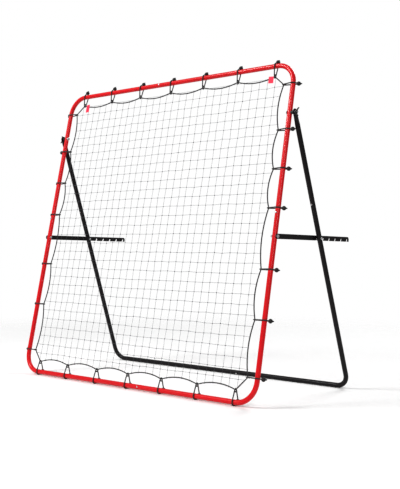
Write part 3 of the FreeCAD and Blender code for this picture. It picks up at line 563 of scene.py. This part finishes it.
def fasteners():
    """Pivot bolts, sleeves and wing nuts, the bars' bolts and nuts, the washers and the leg pins."""
    flat_in, flat_out = LEG_X - FLAT_T / 2, LEG_X + FLAT_T / 2
    washer_x = flat_out + FACE_GAP
    seat = washer_x + WASHER_T + FACE_GAP
    head_x = HALF_W - TUBE_R - FACE_GAP
    tip = seat + HUB_H + BOLT_PAST_HUB
    washers, bar_washers = Builder(), Builder()
    for side, name in ((1, "right"), (-1, "left")):
        outwards = ACROSS * side
        centre = at(0, PIVOT_V)
        bolt = Builder()
        dome = [(head_x - DOME_H * math.sin(math.radians(a)), 2.0 + 7.0 * math.cos(math.radians(a)))
                for a in range(90, -1, -10)]
        bolt.lathe(centre, outwards, [(head_x - DOME_H, 0.01)] + dome
                   + [(head_x, BOLT_R), (seat, BOLT_R)] + threaded_end(seat + 0.2, tip, BOLT_R), 28)
        bolt.finish("pivot_bolt_body_" + name, "zinc", "frame", ["pivot_bolt_" + name])
        washers.lathe(centre, outwards,
                      rounded_disc(washer_x, washer_x + WASHER_T, WASHER_R, BOLT_HOLE_R))
        wing_nut(name, centre, outwards, seat)
        spacer = Builder()
        saddled(spacer, centre, side, flat_in - FACE_GAP)
        spacer.finish("pivot_spacer_sleeve_" + name, "black_plastic", "frame", ["pivot_spacer_" + name])
        bolt_centre = at(0, BAR_BOLT_V)
        outer = BAR_X + BAR_T + FACE_GAP
        screw = Builder()
        hex_x = outer + WASHER_T
        hexagon(screw, bolt_centre, outwards, hex_x, hex_x + HEX_HEAD_T, HEX_FLATS)
        screw.lathe(bolt_centre, outwards, threaded_end(head_x - 8.5, head_x - NUT_T, 3.0, 1.0)
                    + [(head_x - 5.9, BAR_BOLT_R), (hex_x, BAR_BOLT_R)], 24)
        screw.finish("bar_bolt_body_" + name, "zinc", "frame", ["bar_bolt_" + name])
        nut = Builder()
        hexagon(nut, bolt_centre, outwards, head_x - NUT_T, head_x, HEX_FLATS)
        nut.finish("bar_nut_body_" + name, "zinc", "frame", ["bar_nut_" + name])
        for x in (HALF_W + TUBE_R, outer):
            bar_washers.lathe(bolt_centre, outwards,
                              rounded_disc(x, x + WASHER_T, WASHER_R, BAR_BOLT_HOLE_R))
        pin = Builder()
        pin_centre = on_stand(0, PIN_DROP)
        pin_head = LEG_X + TUBE_R + FACE_GAP
        collar = BAR_X - FACE_GAP
        pin.lathe(pin_centre, outwards, rounded_disc(collar - 2.0, collar, PIN_COLLAR_R, BOLT_R)
                  + [(pin_head, BOLT_R), (pin_head, PIN_COLLAR_R), (pin_head + 1.2, PIN_COLLAR_R),
                     (pin_head + 2.4, 5.2), (pin_head + 3.0, 3.0), (pin_head + 3.0, 0.01)], 28)
        pin.finish("leg_pin_body_" + name, "zinc", "stand", ["leg_pin_" + name])
    washers.finish("pivot_washer_rings", "zinc", "frame", ["pivot_washers"])
    bar_washers.finish("bar_washer_rings", "zinc", "frame", ["bar_washers"])


def saddled(builder, centre, side, end_x):
    """A turned sleeve whose inner end follows the round upright."""
    radius, bore, eased, count = WASHER_R, BOLT_HOLE_R, 0.6, 48
    rings = []
    for depth, r in ((None, bore), (None, radius), (end_x - eased, radius),
                     (end_x, radius - eased), (end_x, bore)):
        rings.append(len(builder.vertices))
        for i in range(count):
            t = 2 * math.pi * i / count
            n = r * math.sin(t)
            x = depth or HALF_W + math.sqrt((TUBE_R + FACE_GAP) ** 2 - n * n)
            builder.vertices.append(
                centre + (ACROSS * (side * x) + UP_FRAME * (r * math.cos(t)) + REAR * n) * MM)
    builder.close_round(rings, count)


def wing_nut(name, centre, outwards, seat):
    """A moulded wing nut: a flared hub and two curved wings."""
    hub = Builder()
    bore, top = 4.2, seat + HUB_H
    hub.lathe(centre, outwards, [(seat, bore), (seat, 7.2), (seat + 0.6, 7.5), (seat + 7.6, 6.4),
                                 (top, 5.6), (top, bore)], 32)
    for way in (1, -1):
        rings = []
        for i in range(WING_STEPS + 1):
            t = i / WING_STEPS
            height = WING_FOOT + WING_RISE * t
            middle = seat + 4.6 + 9.2 * t ** 1.4
            past = max(t - WING_ROUND_FROM, 0.0) / 0.21
            half_x = WING_HALF_W * math.sqrt(max(1 - past ** 2, 0.04))
            half_y = 2.0 + 0.5 * (1 - t) ** 2
            rings.append(len(hub.vertices))
            for k in range(WING_SIDES):
                a = 2 * math.pi * k / WING_SIDES
                x = middle + half_x * squared(math.cos(a), 0.7)
                y = half_y * squared(math.sin(a), 0.7)
                hub.vertices.append(
                    centre + (outwards * x + UP_FRAME * (way * height) + REAR * y) * MM)
        hub.skin(rings, WING_SIDES)
    hub.finish("wing_nut_body_" + name, "black_plastic", name + "_wing_nut", ["wing_nut_" + name])


# --- net --------------------------------------------------------------------------------------
NET_SEED, NET_REACH = 7, 17     # grid lines each way from the middle
DRIFT, DEPTH_DRIFT = 1.6, 1.5
KNOT_MARGIN = 7.0               # no knot nearer to the edge cord
KNOT_R, KNOT_HALF_T, KNOT_SIDES = 2.1, 1.9, 7
TWINE_SIDES, HITCH_STEPS = 6, 10
TAG_T, TAG_LAP, TAG_STAND_OFF, TAG_SLANT = 0.7, 1.5, 0.8, 2.0


def fixing_sides():
    """Fixing points of the edge cord on each side, anticlockwise from the front, and the way in."""
    heights = SIDE_VS + [PIVOT_LOOP_V, CORNER_LOOP_V]
    inner_x, inner_top = HALF_W - NET_INSET, TOP_V - NET_INSET
    return [([(x, NET_INSET) for x in RAIL_XS], (0, 1)),
            ([(inner_x, v) for v in heights], (-1, 0)),
            ([(x, inner_top) for x in reversed(RAIL_XS)], (0, -1)),
            ([(-inner_x, v) for v in reversed(heights)], (1, 0))]


def edge_outline(steps=10):
    """The edge cord's line in the frame's plane: scalloped along the sides, straight at corners."""
    sides = fixing_sides()
    points = []
    for i, (side, inwards) in enumerate(sides):
        for a, b in zip(side, side[1:]):
            for k in range(steps):
                t = k / steps
                sag = SCALLOP * 4 * t * (1 - t)
                points.append(tuple(a[j] + (b[j] - a[j]) * t + inwards[j] * sag for j in (0, 1)))
        points.append(side[-1])
        corner_end = sides[(i + 1) % 4][0][0]
        last = side[-1]
        for k in range(1, 4):
            points.append(tuple(last[j] + (corner_end[j] - last[j]) * k / 4 for j in (0, 1)))
    return points


def crossings(outline, axis, value):
    """Where a grid line meets the outline: the two outermost places along the other axis."""
    found = []
    other = 1 - axis
    for a, b in zip(outline, outline[1:] + outline[:1]):
        if (a[axis] - value) * (b[axis] - value) <= 0 and a[axis] != b[axis]:
            t = (value - a[axis]) / (b[axis] - a[axis])
            found.append(a[other] + (b[other] - a[other]) * t)
    return (min(found), max(found)) if found else None


def net_pieces():
    """The knotted net, its edge cord and the hitches that hold the net to the cord."""
    rng = random.Random(NET_SEED)
    outline = edge_outline()
    lines = range(-NET_REACH, NET_REACH + 1)
    drift = {(i, k): (rng.uniform(-DRIFT, DRIFT), rng.uniform(-DRIFT, DRIFT),
                      rng.uniform(-DEPTH_DRIFT, DEPTH_DRIFT)) for i in lines for k in lines}
    twine, knots, hitches = Builder(), Builder(), Builder()

    def row(k):
        return TOP_V / 2 + MESH_SHIFT + k * MESH

    def knot_point(i, k):
        dx, dv, dn = drift[(i, k)]
        return (i + 0.5) * MESH + dx, row(k) + dv, dn

    def inside(i, k):
        x, v, _ = knot_point(i, k)
        across = crossings(outline, 1, v)
        upwards = crossings(outline, 0, x)
        return bool(across and upwards and across[0] + KNOT_MARGIN < x < across[1] - KNOT_MARGIN
                    and upwards[0] + KNOT_MARGIN < v < upwards[1] - KNOT_MARGIN)

    kept = {key for key in drift if inside(*key)}
    for i in lines:
        for axis in (0, 1):
            key = (lambda k: (i, k)) if axis == 0 else (lambda k: (k, i))
            run = [key(k) for k in lines if key(k) in kept]
            if not run:
                continue
            points = [knot_point(*k) for k in run]
            line_at = row(i) if axis else (i + 0.5) * MESH
            ends = crossings(outline, axis, line_at)
            if not ends:
                continue
            first, last = (line_at, ends[0], 0.0), (line_at, ends[1], 0.0)
            if axis:
                first, last = (ends[0], line_at, 0.0), (ends[1], line_at, 0.0)
            path = [at(*first)] + [at(*p) for p in points] + [at(*last)]
            twine.tube(path, TWINE_R * MM, TWINE_SIDES)
            for end, inner in ((first, points[0]), (last, points[-1])):
                hitch(hitches, at(*end), (at(*inner) - at(*end)).normalized())
    for key in sorted(kept):
        net_knot(knots, at(*knot_point(*key)), rng)
    first = len(twine.vertices)
    twine.vertices += knots.vertices
    twine.faces += [tuple(i + first for i in face) for face in knots.faces]
    twine.finish("net_mesh", "net_twine", "frame", ["net"])
    hitches.finish("net_hitches", "net_twine", "frame")
    cord = Builder()
    cord.tube([at(x, v) for x, v in outline], EDGE_R * MM, 12, closed=True, normal=REAR)
    cord.finish("net_edge_rope", "edge_cord", "frame", ["net_edge_cord"])


def net_knot(builder, centre, rng):
    """A small flattened drum for the knot where two twines cross."""
    turn = rng.uniform(0, math.pi)
    side = ACROSS * math.cos(turn) + UP_FRAME * math.sin(turn)
    up = REAR.cross(side)
    rings = []
    for level, radius in ((-1.0, 0.55), (-0.45, 1.0), (0.45, 1.0), (1.0, 0.55)):
        rings.append(builder.ring(centre + REAR * (level * KNOT_HALF_T * MM), side, up,
                                  radius * KNOT_R * MM, KNOT_SIDES))
    builder.skin(rings, KNOT_SIDES)


def hitch(builder, centre, towards):
    """The twine's turn round the edge cord."""
    turn_r = (EDGE_R + TWINE_R * 0.8) * MM
    path = []
    for i in range(HITCH_STEPS):
        a = 2 * math.pi * i / HITCH_STEPS
        path.append(centre + (towards * math.cos(a) + REAR * math.sin(a)) * turn_r)
    builder.tube(path, TWINE_R * MM, TWINE_SIDES, closed=True)


def net_tags():
    """Plain cloth tags that hang in front of the edge cord and the net with a slight curl."""
    top = TOP_V - NET_INSET
    for name, (side, offset, width, drop) in TAGS.items():
        middle = side * (RAIL_XS[-1] - offset)
        builder = Builder()
        columns, rows = 9, 14
        for layer in (0.0, TAG_T):
            for r in range(rows + 1):
                t = r / rows
                for c in range(columns + 1):
                    s = c / columns - 0.5
                    curl = 0.9 * math.sin(t * 2.6) + 1.6 * s * s * t
                    n = -EDGE_R - TAG_STAND_OFF - curl - layer
                    level = top + TAG_LAP - side * s * TAG_SLANT
                    builder.vertices.append(at(middle + s * width + 1.5 * t, level - drop * t, n))
        width_count = columns + 1
        layer_count = width_count * (rows + 1)
        for layer in (0, layer_count):
            for r in range(rows):
                for c in range(columns):
                    a = layer + r * width_count + c
                    builder.faces.append((a, a + 1, a + 1 + width_count, a + width_count))
        rim = list(range(width_count))
        rim += [(r + 1) * width_count - 1 for r in range(1, rows + 1)]
        rim += [rows * width_count + c for c in range(columns - 1, -1, -1)]
        rim += [r * width_count for r in range(rows - 1, 0, -1)]
        for a, b in zip(rim, rim[1:] + rim[:1]):
            builder.faces.append((a, b, b + layer_count, a + layer_count))
        cloth = builder.finish("net_tag_cloth_" + name, "tag", "frame", ["net_tag_" + name])


# --- elastic loops and balls ------------------------------------------------------------------
CORD_SIDES = 10
LOOP_END_R = 2.2                # the loop's turn in the ball
BALL_HOLE_R, BALL_SIDES = 2.4, 28
TAIL_LEANS = (0.35, -0.2)       # the two cord ends, apart from each other
WRAP_SIDES, WRAP_HALF_DEPTH, WRAP_HALF_WIDTH = 14, 7.6, 3.6
WRAP_RINGS = ((4.6, 0.62), (5.2, 0.92), (6.8, 1.0),     # distance from the edge cord, size
              (8.6, 1.0), (10.2, 0.92), (10.8, 0.62))


def hull(points):
    """The convex outline round points in a plane."""
    points = sorted(set(points))

    def half(ordered):
        chain = []
        for p in ordered:
            while len(chain) > 1 and ((chain[-1][0] - chain[-2][0]) * (p[1] - chain[-2][1])
                                      - (chain[-1][1] - chain[-2][1]) * (p[0] - chain[-2][0])) <= 1e-9:
                chain.pop()
            chain.append(p)
        return chain[:-1]

    return half(points) + half(points[::-1])


def circle(centre, radius, count=28):
    return [(centre[0] + radius * math.cos(2 * math.pi * i / count),
             centre[1] + radius * math.sin(2 * math.pi * i / count)) for i in range(count)]


def binding(cords, place, along):
    """A short wrap that gathers the loop's two limbs beside the edge cord."""
    rings = []
    for a, size in WRAP_RINGS:
        rings.append(len(cords.vertices))
        for i in range(WRAP_SIDES):
            t = 2 * math.pi * i / WRAP_SIDES
            cords.vertices.append(place(-NET_INSET + a, WRAP_HALF_DEPTH * size * math.cos(t))
                                  + along * (WRAP_HALF_WIDTH * size * math.sin(t) * MM))
    cords.skin(rings, WRAP_SIDES)


def loop_and_ball(cords, balls, x, v, outwards, turn_degrees):
    """An elastic loop from the edge cord round the tube, with a rubber ball outside the tube."""
    turn = math.radians(turn_degrees)
    ball = (BALL_OUT * math.cos(turn), BALL_OUT * math.sin(turn))
    outline = hull(circle((0, 0), TUBE_R + LOOP_GAP + ELASTIC_R)
                   + circle((-NET_INSET, 0), EDGE_R + LOOP_PLAY + ELASTIC_R, 16)
                   + circle(ball, LOOP_END_R, 8))
    along = UP_FRAME if outwards[0] else ACROSS

    def place(a, n):
        return at(x + outwards[0] * a, v + outwards[1] * a, n)

    cords.tube([place(a, n) for a, n in outline], ELASTIC_R * MM, CORD_SIDES, closed=True,
               normal=along)
    binding(cords, place, along)
    centre = place(*ball)
    away = (centre - place(0, 0)).normalized()
    profile = [(BALL_R * math.cos(math.radians(a)), BALL_R * math.sin(math.radians(a)))
               for a in range(170, 9, -10)]
    mouth = BALL_R * 0.94
    balls.lathe(centre, away, [(-mouth, BALL_HOLE_R)] + profile + [(mouth, BALL_HOLE_R)], BALL_SIDES)
    cords.lathe(centre, away, [(BALL_R * 0.9, 1.8), (BALL_R * 0.95, 2.9),
                               (BALL_R + 1.2, 3.2), (BALL_R + 2.4, 2.2)], 12)
    for lean in TAIL_LEANS:
        tail = [centre + (away * (BALL_R + a) + along * (lean * (a + 1.0)) + REAR * (0.3 * a)) * MM
                for a in (0.5, 1.8, 3.1, 4.4)]
        cords.tube(tail, [1.5 * MM, 1.5 * MM, 1.4 * MM, 1.1 * MM], 8)


def bungees():
    sets = {
        "top": [(x, TOP_V, (0, 1), turn) for x, turn in zip(RAIL_XS, TOP_BALL_TURNS)],
        "bottom": [(x, 0.0, (0, -1), BOTTOM_BALL_TURN) for x in RAIL_XS],
        "left": [(-HALF_W, v, (-1, 0), BALL_TURN) for v in SIDE_VS + [CORNER_LOOP_V]],
        "right": [(HALF_W, v, (1, 0), BALL_TURN) for v in SIDE_VS + [CORNER_LOOP_V]],
        "pivot_left": [(-HALF_W, PIVOT_LOOP_V, (-1, 0), PIVOT_BALL_TURN)],
        "pivot_right": [(HALF_W, PIVOT_LOOP_V, (1, 0), PIVOT_BALL_TURN)],
    }
    for name, loops in sets.items():
        cords, balls = Builder(), Builder()
        for x, v, outwards, turn in loops:
            loop_and_ball(cords, balls, x, v, outwards, turn)
        for builder in (cords, balls):      # the bottom loops are pressed flat by the floor
            builder.vertices = [Vector((p.x, p.y, max(p.z, 0.0))) for p in builder.vertices]
        if name.startswith("pivot"):
            for kind, builder, slot in (("cords", cords, "elastic"), ("balls", balls, "rubber_ball")):
                obj = builder.finish(f"elastic_{kind}_{name}", slot, None, [f"bungee_{kind}_pivot"])
                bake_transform(obj)
        else:
            cords.finish("elastic_cords_" + name, "elastic", "frame", ["bungee_cords_" + name])
            balls.finish("rubber_balls_" + name, "rubber_ball", "frame", ["bungee_balls_" + name])


# --- carried-over nodes -----------------------------------------------------------------------
def dress_cad_nodes():
    slots = {p["node"]: p["material_slot"] for p in frame["record"]["subparts"]}
    for name, obj in frame["nodes"].items():
        obj.data.materials.clear()
        obj.data.materials.append(MATERIALS[slots[name]])
    for side in ("left", "right"):
        softened(frame["nodes"]["adjuster_bar_" + side], 0.5)


# --- floor, lights and camera -----------------------------------------------------------------
SKY_LIGHT = 0.4
FLOOR_FADE_START, FLOOR_FADE_END = 1.2, 4.0
AZIMUTH, ELEVATION, ROLL = (math.radians(a) for a in (40.80, -3.32, 0.18))
CAMERA_DISTANCE, CAMERA_LENS, CAMERA_SHIFT = 4.0833, 62.8, -0.1012


def area_light(name, place, target, size, power):
    data = bpy.data.lights.new(name, "AREA")
    data.shape = "DISK"
    data.size = size
    data.energy = power
    lamp = bpy.data.objects.new(name, data)
    bpy.context.scene.collection.objects.link(lamp)
    lamp.location = place
    lamp.rotation_euler = (Vector(target) - Vector(place)).to_track_quat("-Z", "Y").to_euler()


def fade_out(tree, shader):
    """The floor thins out into the white surroundings away from the object."""
    coordinates = tree.nodes.new("ShaderNodeTexCoord")
    distance = tree.nodes.new("ShaderNodeVectorMath")
    distance.operation = "LENGTH"
    tree.links.new(coordinates.outputs["Object"], distance.inputs[0])
    share = tree.nodes.new("ShaderNodeMapRange")
    share.interpolation_type = "SMOOTHSTEP"
    share.inputs["From Min"].default_value = FLOOR_FADE_START
    share.inputs["From Max"].default_value = FLOOR_FADE_END
    tree.links.new(distance.outputs["Value"], share.inputs["Value"])
    clear = tree.nodes.new("ShaderNodeBsdfTransparent")
    mix = tree.nodes.new("ShaderNodeMixShader")
    tree.links.new(share.outputs["Result"], mix.inputs["Fac"])
    tree.links.new(shader.outputs["BSDF"], mix.inputs[1])
    tree.links.new(clear.outputs["BSDF"], mix.inputs[2])
    tree.links.new(mix.outputs["Shader"], tree.nodes["Material Output"].inputs["Surface"])


def studio():
    mesh = bpy.data.meshes.new("floor")
    reach = FLOOR_FADE_END
    corners = [(-reach, -reach, 0), (reach, -reach, 0), (reach, reach, 0), (-reach, reach, 0)]
    mesh.from_pydata(corners, [], [(0, 1, 2, 3)])
    floor = bpy.data.objects.new("floor", mesh)
    bpy.context.scene.collection.objects.link(floor)
    material, tree, shader = new_material("floor paper")
    mottle = textured(tree, "ShaderNodeTexNoise", 2.0, Detail=3.0)
    colour = ramp(tree, mottle.outputs["Fac"],
                  [(0.3, (0.90, 0.90, 0.90)), (0.7, (0.92, 0.92, 0.92))])
    tree.links.new(colour, shader.inputs["Base Color"])
    shader.inputs["Roughness"].default_value = 0.9
    fade_out(tree, shader)
    mesh.materials.append(material)
    world = bpy.data.worlds.new("studio")
    world.use_nodes = True
    tree = world.node_tree
    tree.nodes["Background"].inputs["Color"].default_value = (1.0, 1.0, 1.0, 1.0)
    seen = tree.nodes.new("ShaderNodeLightPath")
    strength = value_range(tree, seen.outputs["Is Camera Ray"], SKY_LIGHT, 1.0)
    tree.links.new(strength, tree.nodes["Background"].inputs["Strength"])
    bpy.context.scene.world = world
    middle = (0.0, 0.0, 0.7)
    area_light("key", (-2.5, -4.0, 4.5), middle, size=2.0, power=270.0)
    area_light("fill", (4.5, -3.5, 3.0), middle, size=2.5, power=100.0)
    area_light("rim", (0.5, 4.0, 4.5), middle, size=2.5, power=130.0)
    bpy.context.scene.view_settings.view_transform = "Standard"
    bpy.context.scene.view_settings.gamma = 0.8


def camera():
    """The viewpoint: low, 41 degrees round to the right."""
    target = Vector((0.1867, ORIGIN.y + 0.300, 0.900))
    level = math.cos(ELEVATION)
    back = Vector((math.sin(AZIMUTH) * level, -math.cos(AZIMUTH) * level, math.sin(ELEVATION)))
    data = bpy.data.cameras.new("camera")
    data.sensor_width = 36.0
    data.lens = CAMERA_LENS
    data.shift_y = CAMERA_SHIFT
    obj = bpy.data.objects.new("camera", data)
    bpy.context.scene.collection.objects.link(obj)
    facing = (-back).to_track_quat("-Z", "Y").to_matrix()
    turned = (facing @ Matrix.Rotation(ROLL, 3, "Z")).to_4x4()
    obj.matrix_world = Matrix.Translation(target + back * CAMERA_DISTANCE) @ turned
    bpy.context.scene.camera = obj


dress_cad_nodes()
frame_tubes()
stand_tubes()
buttons()
fasteners()
net_pieces()
net_tags()
bungees()
studio()
camera()
